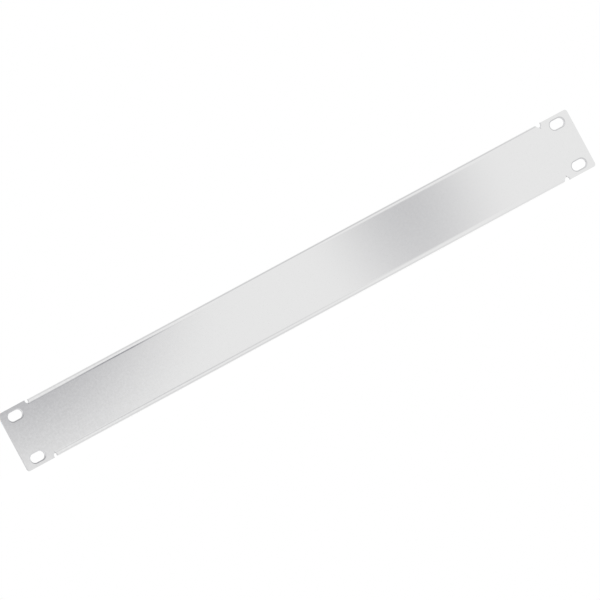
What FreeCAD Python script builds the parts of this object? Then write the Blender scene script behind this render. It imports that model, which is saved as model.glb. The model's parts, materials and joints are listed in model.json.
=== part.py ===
import FreeCAD, Part
import math
import os
import Sketcher

# A 1U blanking panel for a 19-inch rack: one sheet of aluminium, punched and then folded along its
# upper and lower edges. The ears at its ends stay flat and take the rack's screws through slots.
#
# Millimetres. X runs along the panel, Z is up and the front face looks towards -Y. The origin is the
# middle of the plane in which the backs of the ears seat on the rack's rails.

NODE = "blanking_panel"

# The driving dimensions: a name, its size and what it sets.
DIMENSIONS = [
    ("panel_width", 482.6, "overall width, from the end of one ear to the end of the other"),
    ("panel_height", 44.0, "overall height of the ears: a rack unit of 44.45, less clearance"),
    ("sheet_thickness", 1.5, "thickness of the sheet"),
    ("ear_length", 22.1, "from each end of the panel to the near side of its notches"),
    ("ear_corner_radius", 2.0, "rounding of the panel's four corners"),
    ("bend_inner_radius", 2.0, "inner radius of both folds"),
    ("flange_depth", 10.0, "from the front face to the free edge of a flange"),
    ("flange_setback", 0.2, "from the ears' long edges in to the outer face of a flange"),
    ("notch_width", 3.6, "width of the round-bottomed notches that end the folds"),
    ("notch_depth", 2.7, "from the ears' long edges in to the floor of a notch"),
    ("slit_width", 0.3, "width of the slit that frees a fold from the ear below its notch"),
    ("screw_from_end", 8.75, "from an ear's end in to the rail's screws, so that they are 465.1 apart"),
    ("screw_from_edge", 6.125, "from an ear's long edge in to a screw, so that they are 31.75 apart"),
    ("slot_width", 6.4, "width of a screw slot: close clearance for M6"),
    ("slot_travel", 4.8, "how far a slot's centre line runs from the screw towards the middle"),
    ("slot_edge_radius", 0.6, "rolled edge that the punch leaves at the front of a slot"),
]

# Places that follow from them, as expressions on the sheet's cells.
FLANGE_FACE = "Dimensions.panel_height / 2 - Dimensions.flange_setback"
FOLD_START = f"{FLANGE_FACE} - Dimensions.bend_inner_radius - Dimensions.sheet_thickness"
FLANGE_EDGE = "Dimensions.flange_depth - Dimensions.sheet_thickness"
NOTCH_MIDDLE = "Dimensions.panel_width / 2 - Dimensions.ear_length - Dimensions.notch_width / 2"
NOTCH_FLOOR = "Dimensions.panel_height / 2 - Dimensions.notch_depth"
FLANGE_END = f"{NOTCH_MIDDLE} - Dimensions.notch_width / 2"
SCREW_ACROSS = "Dimensions.panel_width / 2 - Dimensions.screw_from_end"
SCREW_UP = "Dimensions.panel_height / 2 - Dimensions.screw_from_edge"

# How far an outline that cuts runs past the sheet's edge.
OVERCUT = 5.0
# The same for a flange's corner: less than the notch beside it is wide, so that the ear stays whole.
CORNER_OVERCUT = 1.0
# Points whose depths differ by less than this lie in one plane.
SAME_PLANE = 1e-4

# The sketcher's numbers for the points of a line or an arc, and for the origin.
START, END, CENTRE = range(1, 4)
ORIGIN = (-1, START)


def make_sheet(doc):
    sheet = doc.addObject("Spreadsheet::Sheet", "Dimensions")
    for row, (alias, size, meaning) in enumerate(DIMENSIONS, start=1):
        sheet.set(f"A{row}", alias)
        sheet.set(f"B{row}", str(size))
        sheet.set(f"C{row}", meaning)
        sheet.setAlias(f"B{row}", alias)
    doc.recompute()


# Sketches


def origin_plane(body, role):
    return next(plane for plane in body.Origin.OriginFeatures if plane.Role == role)


def new_sketch(body, name, role):
    """An empty sketch on one of the body's own origin planes."""
    sketch = body.newObject("Sketcher::SketchObject", name)
    sketch.AttachmentSupport = [(origin_plane(body, role), "")]
    sketch.MapMode = "FlatFace"
    return sketch


def size_of(sketch, expression):
    """What an expression on the sheet's cells comes to."""
    return float(sketch.evalExpression(expression))


def dimension(sketch, kind, places, expression):
    """Holds a distance or a radius of the sketch to an expression on the sheet's cells."""
    constraint = Sketcher.Constraint(kind, *places, size_of(sketch, expression))
    index = sketch.addConstraint(constraint)
    sketch.setExpression(f"Constraints[{index}]", expression)


def relate(sketch, kind, *places):
    sketch.addConstraint(Sketcher.Constraint(kind, *places))


def locate(sketch, place, x, y):
    """Holds a point of the sketch at its distances from the origin."""
    dimension(sketch, "DistanceX", (*ORIGIN, *place), x)
    dimension(sketch, "DistanceY", (*ORIGIN, *place), y)


def add_line(sketch, start, end):
    return sketch.addGeometry(Part.LineSegment(FreeCAD.Vector(*start, 0), FreeCAD.Vector(*end, 0)))


def add_arc(sketch, centre, radius, first, last):
    """An arc drawn counter-clockwise between two directions, in degrees."""
    circle = Part.Circle(FreeCAD.Vector(*centre, 0), FreeCAD.Vector(0, 0, 1), radius)
    return sketch.addGeometry(Part.ArcOfCircle(circle, math.radians(first), math.radians(last)))


def add_polygon(sketch, corners):
    """A closed outline of straight sides. Side n starts at corner n."""
    following = corners[1:] + corners[:1]
    sides = [add_line(sketch, start, end) for start, end in zip(corners, following)]
    for side, after in zip(sides, sides[1:] + sides[:1]):
        relate(sketch, "Coincident", side, END, after, START)
    return sides


def add_rectangle(sketch, left, bottom, right, top):
    """A closed outline whose sides are, in order, the bottom, the right, the top and the left."""
    sides = add_polygon(sketch, [(left, bottom), (right, bottom), (right, top), (left, top)])
    for side, direction in zip(sides, ("Horizontal", "Vertical", "Horizontal", "Vertical")):
        relate(sketch, direction, side)
    return sides


def add_obround(sketch, low, high, width, turn):
    """The outline left by a round tool that travels from one centre to the other.

    Each centre is a pair of expressions, and turn is the direction of travel, in degrees.
    """
    radius = f"{width} / 2"
    ends = []
    for centre, heading in ((low, turn + 180), (high, turn)):
        place = [size_of(sketch, part) for part in centre]
        arc = add_arc(sketch, place, size_of(sketch, radius), heading - 90, heading + 90)
        ends.append(arc)
    for arc, following in (ends, reversed(ends)):
        side = add_line(sketch, point_of(sketch, arc, END), point_of(sketch, following, START))
        relate(sketch, "Tangent", arc, END, side, START)
        relate(sketch, "Tangent", side, END, following, START)
    relate(sketch, "Equal", *ends)
    dimension(sketch, "Radius", (ends[0],), radius)
    for arc, centre in zip(ends, (low, high)):
        locate(sketch, (arc, CENTRE), *centre)


def point_of(sketch, geometry, point):
    place = sketch.getPoint(geometry, point)
    return place.x, place.y


# Features


def pad(body, name, sketch, thickness, side="One side"):
    feature = body.newObject("PartDesign::Pad", name)
    feature.Profile = sketch
    feature.SideType = side
    feature.setExpression("Length", thickness)
    return feature


def cut_through(body, name, sketch):
    """Cuts the sketch's outline out of everything in front of and behind its plane."""
    body.Document.recompute()
    before = body.Shape.Volume
    feature = body.newObject("PartDesign::Pocket", name)
    feature.Profile = sketch
    feature.Type = "ThroughAll"
    feature.SideType = "Symmetric"
    body.Document.recompute()
    if not feature.Shape.Volume < before:
        raise RuntimeError(f"{name} cuts nothing")
    return feature


def mirror(body, name, role):
    """One mirroring in the body's own origin plane, for a MultiTransform to use."""
    feature = body.Document.addObject("PartDesign::Mirrored", name)
    feature.MirrorPlane = (origin_plane(body, role), [""])
    return feature


def repeat(body, name, originals, mirrors):
    feature = body.newObject("PartDesign::MultiTransform", name)
    feature.Originals = originals
    feature.Transformations = mirrors
    body.Tip = feature
    body.Document.recompute()


def round_edges(body, name, edges, radius):
    """Rounds edges of the body's newest feature."""
    base = body.Tip
    names = [
        f"Edge{number}"
        for number, edge in enumerate(base.Shape.Edges, start=1)
        if any(edge.isSame(chosen) for chosen in edges)
    ]
    feature = body.newObject("PartDesign::Fillet", name)
    feature.Base = (base, names)
    feature.setExpression("Radius", radius)
    body.Document.recompute()


# The panel, in the order in which it is made


def add_plate(body):
    """The flat sheet, from the mounting plane forward, with its corners rounded."""
    sketch = new_sketch(body, "PlateOutline", "XZ_Plane")
    right = size_of(sketch, "Dimensions.panel_width / 2")
    top = size_of(sketch, "Dimensions.panel_height / 2")
    sides = add_rectangle(sketch, -right, -top, right, top)
    relate(sketch, "Symmetric", sides[0], START, sides[2], START, *ORIGIN)
    dimension(sketch, "DistanceX", (sides[0], START, sides[0], END), "Dimensions.panel_width")
    dimension(sketch, "DistanceY", (sides[1], START, sides[1], END), "Dimensions.panel_height")
    pad(body, "Plate", sketch, "Dimensions.sheet_thickness")
    body.Document.recompute()
    corners = [edge for edge in body.Tip.Shape.Edges if edge.BoundBox.YLength > SAME_PLANE]
    round_edges(body, "EarCorners", corners, "Dimensions.ear_corner_radius")


def add_fold(body):
    """Turns the sheet's upper edge back between the notches: the flat strip goes and a fold comes."""
    strip = new_sketch(body, "StripOutline", "XZ_Plane")
    right = size_of(strip, NOTCH_MIDDLE)
    bottom = size_of(strip, FOLD_START)
    top = size_of(strip, "Dimensions.panel_height / 2") + OVERCUT
    sides = add_rectangle(strip, -right, bottom, right, top)
    dimension(strip, "DistanceX", (sides[0], START, sides[0], END), f"2 * ({NOTCH_MIDDLE})")
    dimension(strip, "DistanceY", (*ORIGIN, sides[0], END), FOLD_START)
    locate(strip, (sides[2], START), NOTCH_MIDDLE, f"Dimensions.panel_height / 2 + {OVERCUT}")
    trim = cut_through(body, "EdgeTrim", strip)

    section = new_sketch(body, "FoldSection", "YZ_Plane")
    inner = size_of(section, "Dimensions.bend_inner_radius")
    sheet = size_of(section, "Dimensions.sheet_thickness")
    start = size_of(section, FOLD_START)
    face = size_of(section, FLANGE_FACE)
    edge = size_of(section, FLANGE_EDGE)
    outer_bend = add_arc(section, (inner, start), inner + sheet, 90, 180)
    inner_bend = add_arc(section, (inner, start), inner, 90, 180)
    foot = add_line(section, (-sheet, start), (0, start))
    outer_face = add_line(section, (inner, face), (edge, face))
    free_edge = add_line(section, (edge, face), (edge, face - sheet))
    inner_face = add_line(section, (edge, face - sheet), (inner, face - sheet))
    relate(section, "Coincident", outer_bend, CENTRE, inner_bend, CENTRE)
    relate(section, "Coincident", outer_bend, END, foot, START)
    relate(section, "Coincident", foot, END, inner_bend, END)
    relate(section, "Tangent", outer_bend, START, outer_face, START)
    relate(section, "Coincident", outer_face, END, free_edge, START)
    relate(section, "Coincident", free_edge, END, inner_face, START)
    relate(section, "Tangent", inner_face, END, inner_bend, START)
    relate(section, "Horizontal", outer_face)
    relate(section, "Horizontal", inner_face)
    relate(section, "Vertical", free_edge)
    relate(section, "Horizontal", foot)
    relate(section, "Vertical", *ORIGIN, foot, END)
    relate(section, "Horizontal", foot, END, inner_bend, CENTRE)
    dimension(section, "Radius", (inner_bend,), "Dimensions.bend_inner_radius")
    dimension(section, "DistanceY", (free_edge, END, free_edge, START), "Dimensions.sheet_thickness")
    locate(section, (outer_face, END), FLANGE_EDGE, FLANGE_FACE)
    fold = pad(body, "Fold", section, f"2 * ({NOTCH_MIDDLE})", "Symmetric")
    body.Document.recompute()

    repeat(body, "BothFolds", [trim, fold], [mirror(body, "FoldBelow", "XY_Plane")])


def add_notch(body):
    """The upper right notch, between the fold and the ear."""
    sketch = new_sketch(body, "NotchOutline", "XZ_Plane")
    floor = (NOTCH_MIDDLE, f"{NOTCH_FLOOR} + Dimensions.notch_width / 2")
    mouth = (NOTCH_MIDDLE, f"Dimensions.panel_height / 2 + {OVERCUT}")
    add_obround(sketch, floor, mouth, "Dimensions.notch_width", 90)
    return cut_through(body, "Notch", sketch)


def add_slit(body):
    """The slit below that notch, which goes on to where the fold starts."""
    sketch = new_sketch(body, "SlitOutline", "XZ_Plane")
    left = f"{NOTCH_MIDDLE} - Dimensions.slit_width / 2"
    right = f"{NOTCH_MIDDLE} + Dimensions.slit_width / 2"
    inside_notch = f"{NOTCH_FLOOR} + Dimensions.notch_width / 2"
    limits = [size_of(sketch, limit) for limit in (left, FOLD_START, right, inside_notch)]
    sides = add_rectangle(sketch, *limits)
    locate(sketch, (sides[0], START), left, FOLD_START)
    locate(sketch, (sides[2], START), right, inside_notch)
    return cut_through(body, "Slit", sketch)


def add_corner_cut(body):
    """The 45 degree cut on the flanges' right-hand ends, in plan, from the fold to the free edge."""
    sketch = new_sketch(body, "CornerOutline", "XY_Plane")
    leg = f"{FLANGE_EDGE} - Dimensions.bend_inner_radius + 2 * {CORNER_OVERCUT}"
    corner_x = f"{FLANGE_END} + {CORNER_OVERCUT}"
    corner_y = f"{FLANGE_EDGE} + {CORNER_OVERCUT}"
    run = size_of(sketch, leg)
    x = size_of(sketch, corner_x)
    y = size_of(sketch, corner_y)
    sides = add_polygon(sketch, [(x, y), (x - run, y), (x, y - run)])
    relate(sketch, "Horizontal", sides[0])
    relate(sketch, "Vertical", sides[2])
    relate(sketch, "Equal", sides[0], sides[2])
    dimension(sketch, "DistanceX", (sides[0], END, sides[0], START), leg)
    locate(sketch, (sides[0], START), corner_x, corner_y)
    return cut_through(body, "CornerCut", sketch)


def add_slot(body):
    """The upper right screw slot. Its outer arc is centred on the rail's screw."""
    sketch = new_sketch(body, "SlotOutline", "XZ_Plane")
    inner = (f"{SCREW_ACROSS} - Dimensions.slot_travel", SCREW_UP)
    outer = (SCREW_ACROSS, SCREW_UP)
    add_obround(sketch, inner, outer, "Dimensions.slot_width", 0)
    return cut_through(body, "Slot", sketch)


def soften_slots(body):
    """Rolls the slots' front edges, which are the openings inside the front face's outline."""
    shape = body.Tip.Shape
    front_depth = shape.BoundBox.YMin
    in_front = [face for face in shape.Faces if face.BoundBox.YMax < front_depth + SAME_PLANE]
    front = max(in_front, key=lambda face: face.Area)
    openings = [wire for wire in front.Wires if not wire.isSame(front.OuterWire)]
    rims = [edge for wire in openings for edge in wire.Edges]
    round_edges(body, "SlotEdges", rims, "Dimensions.slot_edge_radius")


def build_panel(doc):
    body = doc.addObject("PartDesign::Body", "Panel")
    body.Label = NODE
    body.Placement = FreeCAD.Placement()
    add_plate(body)
    add_fold(body)
    cuts = [add_notch(body), add_slit(body), add_corner_cut(body), add_slot(body)]
    mirrors = [mirror(body, "CutsAtLeft", "YZ_Plane"), mirror(body, "CutsBelow", "XY_Plane")]
    repeat(body, "AllCuts", cuts, mirrors)
    soften_slots(body)
    return body


def check(doc, body):
    """Stops on any object that failed, or on a panel that isn't one sound solid."""
    failed = [item.Name for item in doc.Objects if {"Invalid", "Error"} & set(item.State)]
    if failed:
        raise RuntimeError(f"failed to recompute: {failed}")
    if body.Shape.isNull() or not body.Shape.isValid() or len(body.Shape.Solids) != 1:
        raise RuntimeError(f"{body.Label} isn't one valid solid")


def main():
    doc = FreeCAD.newDocument("BlankingPanel")
    make_sheet(doc)
    panel = build_panel(doc)
    doc.recompute()
    check(doc, panel)
    os.makedirs("parts", exist_ok=True)
    panel.Shape.exportStep(f"parts/{panel.Label}.step")
    box = panel.Shape.BoundBox
    print(f"{panel.Label}: {box.XLength:.2f} x {box.YLength:.2f} x {box.ZLength:.2f} mm,", end=" ")
    print(f"{panel.Shape.Volume:.1f} mm3, {len(panel.Shape.Faces)} faces")


main()
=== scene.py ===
import json
import math

import bpy
from mathutils import Matrix, Vector


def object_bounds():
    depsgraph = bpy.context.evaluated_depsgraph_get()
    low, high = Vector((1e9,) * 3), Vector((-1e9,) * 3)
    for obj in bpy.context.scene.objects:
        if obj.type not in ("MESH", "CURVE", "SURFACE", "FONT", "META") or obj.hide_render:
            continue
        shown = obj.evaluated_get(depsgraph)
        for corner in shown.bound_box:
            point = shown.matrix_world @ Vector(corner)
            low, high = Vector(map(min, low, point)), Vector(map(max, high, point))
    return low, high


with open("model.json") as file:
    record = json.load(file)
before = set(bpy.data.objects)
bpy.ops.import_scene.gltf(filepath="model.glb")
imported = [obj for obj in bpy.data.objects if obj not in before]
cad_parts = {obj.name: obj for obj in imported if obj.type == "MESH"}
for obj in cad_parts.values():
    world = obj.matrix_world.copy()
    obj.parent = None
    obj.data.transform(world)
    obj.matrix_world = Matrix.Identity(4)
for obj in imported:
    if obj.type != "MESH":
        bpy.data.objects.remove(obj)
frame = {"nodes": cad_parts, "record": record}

# The looks of a 19-inch, 1U rack blanking panel: one folded sheet of bare satin aluminium, with an
# ear at each end, upright on a pale studio floor. Metres throughout, in the CAD frame: +X along the
# panel, -Y out of the rack towards the viewer, +Z up.

CAD_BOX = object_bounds()
LOWEST, HIGHEST = CAD_BOX
CENTRE = (LOWEST + HIGHEST) / 2
FRONT_FACE = LOWEST.y
PANEL = frame["nodes"]["blanking_panel"]

MM = 0.001


# --- node helpers ---------------------------------------------------------------------------------

# A ray's count of bounces is whole, so one with fewer than this has met no matt surface.
HALF_A_BOUNCE = 0.5


def add_node(tree, kind, inputs=(), **settings):
    """A shader node with its settings, and its inputs set to a value or linked from a socket."""
    made = tree.nodes.new(kind)
    for name, value in settings.items():
        setattr(made, name, value)
    for socket, value in dict(inputs).items():
        set_input(tree, made.inputs[socket], value)
    return made


def set_input(tree, socket, value):
    """Gives an input a value, or links it from an output."""
    if isinstance(value, bpy.types.NodeSocket):
        tree.links.new(value, socket)
    else:
        socket.default_value = value


def empty_tree(owner):
    """The owner's node tree with nothing in it."""
    owner.use_nodes = True
    owner.node_tree.nodes.clear()
    return owner.node_tree


def colour_ramp(tree, factor, colours):
    """A ramp from a dark colour to a light one."""
    ramp = add_node(tree, "ShaderNodeValToRGB", {"Fac": factor})
    for element, colour in zip(ramp.color_ramp.elements, colours):
        element.color = (*colour, 1)
    return ramp.outputs["Color"]


def maths(tree, operation, first, second=0):
    """The result of a Math node on one or two sockets or numbers."""
    made = add_node(tree, "ShaderNodeMath", operation=operation)
    for socket, value in zip(made.inputs, (first, second)):
        set_input(tree, socket, value)
    return made.outputs["Value"]


def mix(tree, kind, factor, first, second):
    """A mix of two sockets of one kind, RGBA or FLOAT."""
    made = add_node(tree, "ShaderNodeMix", data_type=kind)
    sockets = [socket for socket in made.inputs if socket.enabled]
    for socket, value in zip(sockets, (factor, first, second)):
        tree.links.new(value, socket)
    return next(socket for socket in made.outputs if socket.enabled)


def size_along(tree, parts, axis):
    """How large a vector's part along one axis is, whichever way it points."""
    return maths(tree, "ABSOLUTE", parts.outputs[axis])


def seen_directly_or_reflected(tree):
    """1 for what the camera sees straight, in a reflection or through something, else 0.

    What a matt surface sees in the metal isn't counted, so that it gets no more light by it.
    """
    path = add_node(tree, "ShaderNodeLightPath")
    seen = path.outputs["Is Camera Ray"]
    for kind in ("Is Glossy Ray", "Is Transmission Ray"):
        seen = maths(tree, "MAXIMUM", seen, path.outputs[kind])
    before_any_matt_surface = maths(tree, "LESS_THAN", path.outputs["Diffuse Depth"], HALF_A_BOUNCE)
    return maths(tree, "MULTIPLY", seen, before_any_matt_surface)


# --- the sheet ------------------------------------------------------------------------------------

# Each pair is the darkest and the lightest colour of one surface.
ALUMINIUM = ((0.763, 0.763, 0.763), (0.823, 0.823, 0.823))
SHEARED = ((0.58, 0.58, 0.59), (0.72, 0.72, 0.73))
# The slot edges carry painted shade: a darker ring round each screw slot, and a darker crescent of shade
# under each slot on the left ear.
LIGHTER_RIM_PAINTED_SHADE = ((0.66, 0.66, 0.67), (0.78, 0.78, 0.79))
DARKER_RIM_PAINTED_SHADE = ((0.38, 0.38, 0.39), (0.50, 0.50, 0.51))

# The size of each pattern's features, and how fine it is in itself.
GRAIN_SIZE = 1.8 * MM
GRAIN_DETAIL = 1.5
GRAIN_HARSHNESS = 0.6
FINE_GRAIN_SIZE = 0.35 * MM
STRIATION_SIZE = 0.25 * MM
STRIATION_LENGTH = 2.0 * MM
FINE_DETAIL = 2.0
FINE_HARSHNESS = 0.5

# How much the mottle stands out: faintly at the right, strongly at the left end.
FAINT_MOTTLE = 0.4
STRONG_MOTTLE = 2.6
MOTTLE_FADES_FROM = LOWEST.x + 45 * MM
MOTTLE_FADES_TO = LOWEST.x + 190 * MM

# Roughness goes from the first value to the second as the noise goes through NOISE_RANGE.
NOISE_MIDDLE = 0.5
NOISE_RANGE = (0.3, 0.7)
SATIN_ROUGHNESS = (0.14, 0.19)
TORN_ROUGHNESS = (0.45, 0.6)

BUMP_STRENGTH = 0.05
GRAIN_HEIGHT = 0.1 * MM
FINE_GRAIN_HEIGHT = 0.03 * MM

# Where the cut edges are: past the notches' inner sides, and at the back of the flanges. A normal's
# part smaller than FACING_LIMIT counts as none.
NOTCHES_END = HIGHEST.x - 25.7 * MM
FLANGE_EDGE = HIGHEST.y - 0.05 * MM
FACING_LIMIT = 0.2

# A slot's rim is its wall and the metal round it to the width below from its outline, all coloured with
# painted shade.
# The right ear's value is how far its slot edges go from the lighter painted shade to the darker.
SLOTS = next(mount for mount in frame["record"]["mounts"] if mount["name"] == "rack_screws")["dims"]
SLOT_RADIUS = SLOTS["hole_r_mm"] * MM
PAINTED_SHADE_RIM_WIDTH = 0.8 * MM
RIGHT_RIM_PAINTED_SHADE = 0.4


def noise(tree, place, size, detail, harshness):
    """Noise whose features are about one size."""
    return add_node(
        tree, "ShaderNodeTexNoise",
        {"Vector": place, "Scale": 1 / size, "Detail": detail, "Roughness": harshness},
    ).outputs["Fac"]


def by_noise(tree, pattern, lowest_and_highest):
    """A value that follows a noise pattern between two ends."""
    return add_node(
        tree, "ShaderNodeMapRange",
        {
            "Value": pattern,
            "From Min": NOISE_RANGE[0],
            "From Max": NOISE_RANGE[1],
            "To Min": lowest_and_highest[0],
            "To Max": lowest_and_highest[1],
        },
    ).outputs["Result"]


def sheared_edges(tree, place, facing):
    """1 on the sheet's cut edges, where the bare thickness shows, and 0 on its broad faces.

    The flanges' broad faces never face along the panel, and on the ears they face front or back.
    """
    sideways = maths(tree, "LESS_THAN", size_along(tree, facing, "Y"), FACING_LIMIT)
    along = maths(tree, "GREATER_THAN", size_along(tree, facing, "X"), FACING_LIMIT)
    on_ear = maths(tree, "GREATER_THAN", size_along(tree, place, "X"), NOTCHES_END)
    wall = maths(tree, "MULTIPLY", sideways, maths(tree, "MAXIMUM", along, on_ear))
    flange_edge = maths(tree, "GREATER_THAN", place.outputs["Y"], FLANGE_EDGE)
    return maths(tree, "MAXIMUM", wall, flange_edge)


def place_in_slot(tree, place):
    """How far a point is from the middle line of the nearest screw slot, and how high over it."""
    straight = SLOTS["slot_length_mm"] * MM / 2 - SLOT_RADIUS
    from_middle = maths(tree, "SUBTRACT", size_along(tree, place, "X"), SLOTS["spacing_x_mm"] * MM / 2)
    past_straight = maths(tree, "SUBTRACT", maths(tree, "ABSOLUTE", from_middle), straight)
    across = maths(tree, "MAXIMUM", past_straight, 0)
    side = maths(tree, "SIGN", place.outputs["Z"])
    middle_height = maths(tree, "MULTIPLY", side, SLOTS["spacing_y_mm"] * MM / 2)
    up = maths(tree, "SUBTRACT", place.outputs["Z"], middle_height)
    squares = (maths(tree, "MULTIPLY", length, length) for length in (across, up))
    return maths(tree, "SQRT", maths(tree, "ADD", *squares)), up


def painted_slot_shade(tree, place, facing):
    """Two masks: 1 on the walls and rolled edges of the screw slots, and how dark the painted shade is
    there.

    On the left ear the painted shade darkens from each slot's middle down, as shade under the slot. On
    the right ear it is even, but lighter on the walls that face the left and darker on those that face
    the right.
    """
    from_slot, up = place_in_slot(tree, place)
    painted_shade_below = add_node(
        tree, "ShaderNodeMapRange", {"Value": up, "From Min": 0, "From Max": -SLOT_RADIUS},
        interpolation_type="SMOOTHSTEP",
    ).outputs["Result"]
    on_left_ear = maths(tree, "LESS_THAN", place.outputs["X"], 0)
    painted_side_shade = maths(tree, "MULTIPLY", maths(tree, "ADD", facing.outputs["X"], 1), RIGHT_RIM_PAINTED_SHADE)
    change = maths(tree, "MULTIPLY", maths(tree, "SUBTRACT", painted_shade_below, painted_side_shade), on_left_ear)
    darkness = maths(tree, "ADD", painted_side_shade, change)
    return maths(tree, "LESS_THAN", from_slot, SLOT_RADIUS + PAINTED_SHADE_RIM_WIDTH), darkness


def uneven_mottle(tree, place, mottle):
    """The mottle with more contrast towards the panel's left end."""
    contrast = add_node(
        tree, "ShaderNodeMapRange",
        {
            "Value": place.outputs["X"],
            "From Min": MOTTLE_FADES_FROM,
            "From Max": MOTTLE_FADES_TO,
            "To Min": STRONG_MOTTLE,
            "To Max": FAINT_MOTTLE,
        },
    ).outputs["Result"]
    swing = maths(tree, "MULTIPLY", maths(tree, "SUBTRACT", mottle, NOISE_MIDDLE), contrast)
    return maths(tree, "ADD", swing, NOISE_MIDDLE)


def grain_bumps(tree, mottle, fine):
    """The surface's normal with the mottle and the fine grain pressed into it."""
    normal = None
    for pattern, height in ((mottle, GRAIN_HEIGHT), (fine, FINE_GRAIN_HEIGHT)):
        inputs = {"Height": pattern, "Strength": BUMP_STRENGTH, "Distance": height}
        if normal:
            inputs["Normal"] = normal
        normal = add_node(tree, "ShaderNodeBump", inputs).outputs["Normal"]
    return normal


def satin_aluminium():
    """Bare mill-finish aluminium: a fine, slightly mottled satin grain, duller where sheared."""
    material = bpy.data.materials.new("satin_aluminium")
    tree = empty_tree(material)
    coordinates = add_node(tree, "ShaderNodeTexCoord")
    point = coordinates.outputs["Object"]
    place = add_node(tree, "ShaderNodeSeparateXYZ", {"Vector": point})
    facing = add_node(tree, "ShaderNodeSeparateXYZ", {"Vector": coordinates.outputs["Normal"]})

    mottle = noise(tree, point, GRAIN_SIZE, GRAIN_DETAIL, GRAIN_HARSHNESS)
    fine = noise(tree, point, FINE_GRAIN_SIZE, FINE_DETAIL, FINE_HARSHNESS)
    stretched = add_node(
        tree, "ShaderNodeMapping",
        {"Vector": point, "Scale": (1, STRIATION_SIZE / STRIATION_LENGTH, 1)},
    ).outputs["Vector"]
    striations = noise(tree, stretched, STRIATION_SIZE, FINE_DETAIL, FINE_HARSHNESS)

    sheared = sheared_edges(tree, place, facing)
    sheet_colour = mix(
        tree, "RGBA", sheared,
        colour_ramp(tree, uneven_mottle(tree, place, mottle), ALUMINIUM),
        colour_ramp(tree, striations, SHEARED),
    )
    # Painted shade round the screw slots, laid over the sheet's own colour.
    slot_shade_mask, darkness = painted_slot_shade(tree, place, facing)
    painted_slot_shade_colour = mix(
        tree, "RGBA", darkness,
        colour_ramp(tree, striations, LIGHTER_RIM_PAINTED_SHADE),
        colour_ramp(tree, striations, DARKER_RIM_PAINTED_SHADE),
    )
    roughness = mix(
        tree, "FLOAT", sheared,
        by_noise(tree, mottle, SATIN_ROUGHNESS),
        by_noise(tree, striations, TORN_ROUGHNESS),
    )
    shader = add_node(
        tree, "ShaderNodeBsdfPrincipled",
        {
            "Base Color": mix(tree, "RGBA", slot_shade_mask, sheet_colour, painted_slot_shade_colour),
            "Metallic": 1.0,
            "Roughness": roughness,
            "Normal": grain_bumps(tree, mottle, fine),
        },
    )
    add_node(tree, "ShaderNodeOutputMaterial", {"Surface": shader.outputs["BSDF"]})
    return material


def dress_panel():
    """The CAD sheet keeps its shape and gets the aluminium."""
    aluminium = satin_aluminium()
    for material_slot in PANEL.material_slots:
        material_slot.material = aluminium


# --- the camera -----------------------------------------------------------------------------------

# Distances are in metres, and the lens and its sensor in millimetres.
VIEW_AZIMUTH = math.radians(-24.6)
VIEW_ROLL = math.radians(28.34)
VIEW_DISTANCE = 18.0
VIEW_LENS = 1587.4
SENSOR_WIDTH = 36.0
AIM = Vector((-2.34 * MM, 0, -6.82 * MM))


def build_camera():
    """A long lens to the viewer's left, rolled so that the panel's right end points up."""
    back = Vector((math.sin(VIEW_AZIMUTH), -math.cos(VIEW_AZIMUTH), 0))
    level_right = Vector((0, 0, 1)).cross(back)
    right = Matrix.Rotation(-VIEW_ROLL, 3, back) @ level_right
    up = back.cross(right)
    lens = bpy.data.cameras.new("camera")
    lens.lens = VIEW_LENS
    lens.sensor_width = SENSOR_WIDTH
    lens.clip_end = 2 * VIEW_DISTANCE
    camera = bpy.data.objects.new("camera", lens)
    facing = Matrix((right, up, back)).transposed()
    camera.matrix_world = Matrix.Translation(AIM + back * VIEW_DISTANCE) @ facing.to_4x4()
    bpy.context.scene.collection.objects.link(camera)
    bpy.context.scene.camera = camera


# --- the studio -----------------------------------------------------------------------------------

FLOOR_SIZE = 12.0
FLOOR_COLOUR = (0.8, 0.8, 0.8, 1)
FLOOR_GLOW = 0.40
WHITE = (1, 1, 1, 1)
WHITE_STRENGTH = 1.0
AMBIENT_STRENGTH = 0.7
KEY_STRENGTH = 0.25
KEY_SOFTNESS = math.radians(75)
KEY_DIRECTION = Vector((0.35, 0.45, -0.8))

# The scrims in front of the panel. Each has its name, where along the panel its middle is mirrored,
# its middle's height, its distance from the face, its width and height, and how dark its middle is.
SCRIM_COLOUR = (0.0, 0.0, 0.045, 1)
FRONT_SCRIMS = (
    ("scrim_right", 0.1, 0.035, 0.15, (0.165, 0.33), 0.32),
    ("scrim_left", -0.21, 0.044, 0.15, (0.34, 0.18), 0.455),
    ("scrim_high", -0.136, 0.077, 0.14, (0.11, 0.12), 0.72),
    ("scrim_low", -0.11, -0.096, 0.16, (0.5, 0.14), 0.27),
)
# The level scrims over and under it, which darken the folds. Each has its name, middle, width and
# depth, and how dark its middle is.
LEVEL_SCRIMS = (
    ("scrim_above", (0.14, 0.06, 0.25), (1.1, 0.3), 0.3),
    ("scrim_below", (0.05, 0.06, -0.25), (0.9, 0.3), 0.2),
)
UPRIGHT = math.radians(90)
LEVEL = 0.0


def flat_card(name, width, height, material):
    """A single-sided rectangle in its own XY plane."""
    corners = [(x * width / 2, y * height / 2, 0) for x, y in ((-1, -1), (1, -1), (1, 1), (-1, 1))]
    mesh = bpy.data.meshes.new(name)
    mesh.from_pydata(corners, [], [(0, 1, 2, 3)])
    mesh.materials.append(material)
    card = bpy.data.objects.new(name, mesh)
    bpy.context.scene.collection.objects.link(card)
    return card


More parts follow.
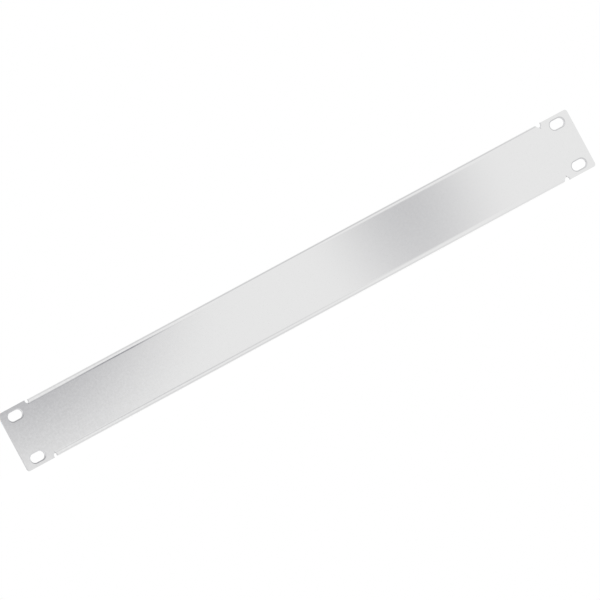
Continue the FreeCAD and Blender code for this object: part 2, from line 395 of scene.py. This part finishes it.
def floor_material():
    """A pale matt floor that reads white where no shadow falls."""
    material = bpy.data.materials.new("studio_floor")
    tree = empty_tree(material)
    matt = add_node(tree, "ShaderNodeBsdfDiffuse", {"Color": FLOOR_COLOUR})
    glow = maths(tree, "MULTIPLY", seen_directly_or_reflected(tree), FLOOR_GLOW)
    light = add_node(tree, "ShaderNodeEmission", {"Strength": glow})
    both = add_node(tree, "ShaderNodeAddShader")
    tree.links.new(matt.outputs["BSDF"], both.inputs[0])
    tree.links.new(light.outputs["Emission"], both.inputs[1])
    add_node(tree, "ShaderNodeOutputMaterial", {"Surface": both.outputs["Shader"]})
    return material


def scrim_material(name, darkness):
    """A dark scrim that fades out from its middle to nothing at its edge."""
    material = bpy.data.materials.new(name)
    tree = empty_tree(material)
    place = add_node(tree, "ShaderNodeTexCoord").outputs["Object"]
    middle = add_node(tree, "ShaderNodeTexGradient", {"Vector": place}, gradient_type="SPHERICAL")
    cover = add_node(
        tree, "ShaderNodeMapRange", {"Value": middle.outputs["Fac"], "To Max": darkness},
        interpolation_type="SMOOTHSTEP",
    )
    clear = add_node(tree, "ShaderNodeBsdfTransparent")
    dark = add_node(tree, "ShaderNodeEmission", {"Color": SCRIM_COLOUR, "Strength": 1.0})
    both = add_node(tree, "ShaderNodeMixShader", {"Fac": cover.outputs["Result"]})
    tree.links.new(clear.outputs["BSDF"], both.inputs[1])
    tree.links.new(dark.outputs["Emission"], both.inputs[2])
    add_node(tree, "ShaderNodeOutputMaterial", {"Surface": both.outputs["Shader"]})
    return material


def scrim(name, middle, size, darkness, tilt):
    """A scrim along the panel, upright or level, seen only as a soft reflection in the metal.

    It is made 2 by 2 and scaled, because the gradient in its material ends 1 from its middle.
    """
    card = flat_card(name, 2, 2, scrim_material(name, darkness))
    card.scale = (size[0] / 2, size[1] / 2, 1)
    card.location = middle
    card.rotation_euler = (tilt, 0, 0)
    card.visible_camera = False
    card.visible_diffuse = False
    card.visible_shadow = False


def in_front(seen_at, height, distance):
    """The place in front of the panel that its face mirrors to the camera at one place along it."""
    return (seen_at + distance * math.tan(-VIEW_AZIMUTH), FRONT_FACE - distance, height)


def white_surroundings():
    """A white world where it is seen, and a dimmer one for the light that falls on matt surfaces."""
    world = bpy.data.worlds.new("studio")
    tree = empty_tree(world)
    strength = add_node(
        tree, "ShaderNodeMapRange",
        {
            "Value": seen_directly_or_reflected(tree),
            "To Min": AMBIENT_STRENGTH,
            "To Max": WHITE_STRENGTH,
        },
    )
    background = add_node(
        tree, "ShaderNodeBackground", {"Color": WHITE, "Strength": strength.outputs["Result"]}
    )
    add_node(tree, "ShaderNodeOutputWorld", {"Surface": background.outputs["Background"]})
    bpy.context.scene.world = world


def key_light():
    """A broad soft light from above, in front and to the left."""
    lamp = bpy.data.lights.new("key", "SUN")
    lamp.energy = KEY_STRENGTH
    lamp.angle = KEY_SOFTNESS
    key = bpy.data.objects.new("key", lamp)
    key.rotation_mode = "QUATERNION"
    key.rotation_quaternion = KEY_DIRECTION.to_track_quat("-Z", "Y")
    bpy.context.scene.collection.objects.link(key)


def build_studio():
    """The floor, the world, the key light and the scrims. The metal mirrors the world, not the floor."""
    floor = flat_card("floor", FLOOR_SIZE, FLOOR_SIZE, floor_material())
    floor.location = (CENTRE.x, CENTRE.y, LOWEST.z)
    floor.visible_glossy = False
    white_surroundings()
    key_light()
    for name, seen_at, height, distance, size, darkness in FRONT_SCRIMS:
        scrim(name, in_front(seen_at, height, distance), size, darkness, UPRIGHT)
    for name, middle, size, darkness in LEVEL_SCRIMS:
        scrim(name, middle, size, darkness, LEVEL)


dress_panel()
build_studio()
build_camera()
bpy.context.scene.view_settings.view_transform = "Standard"
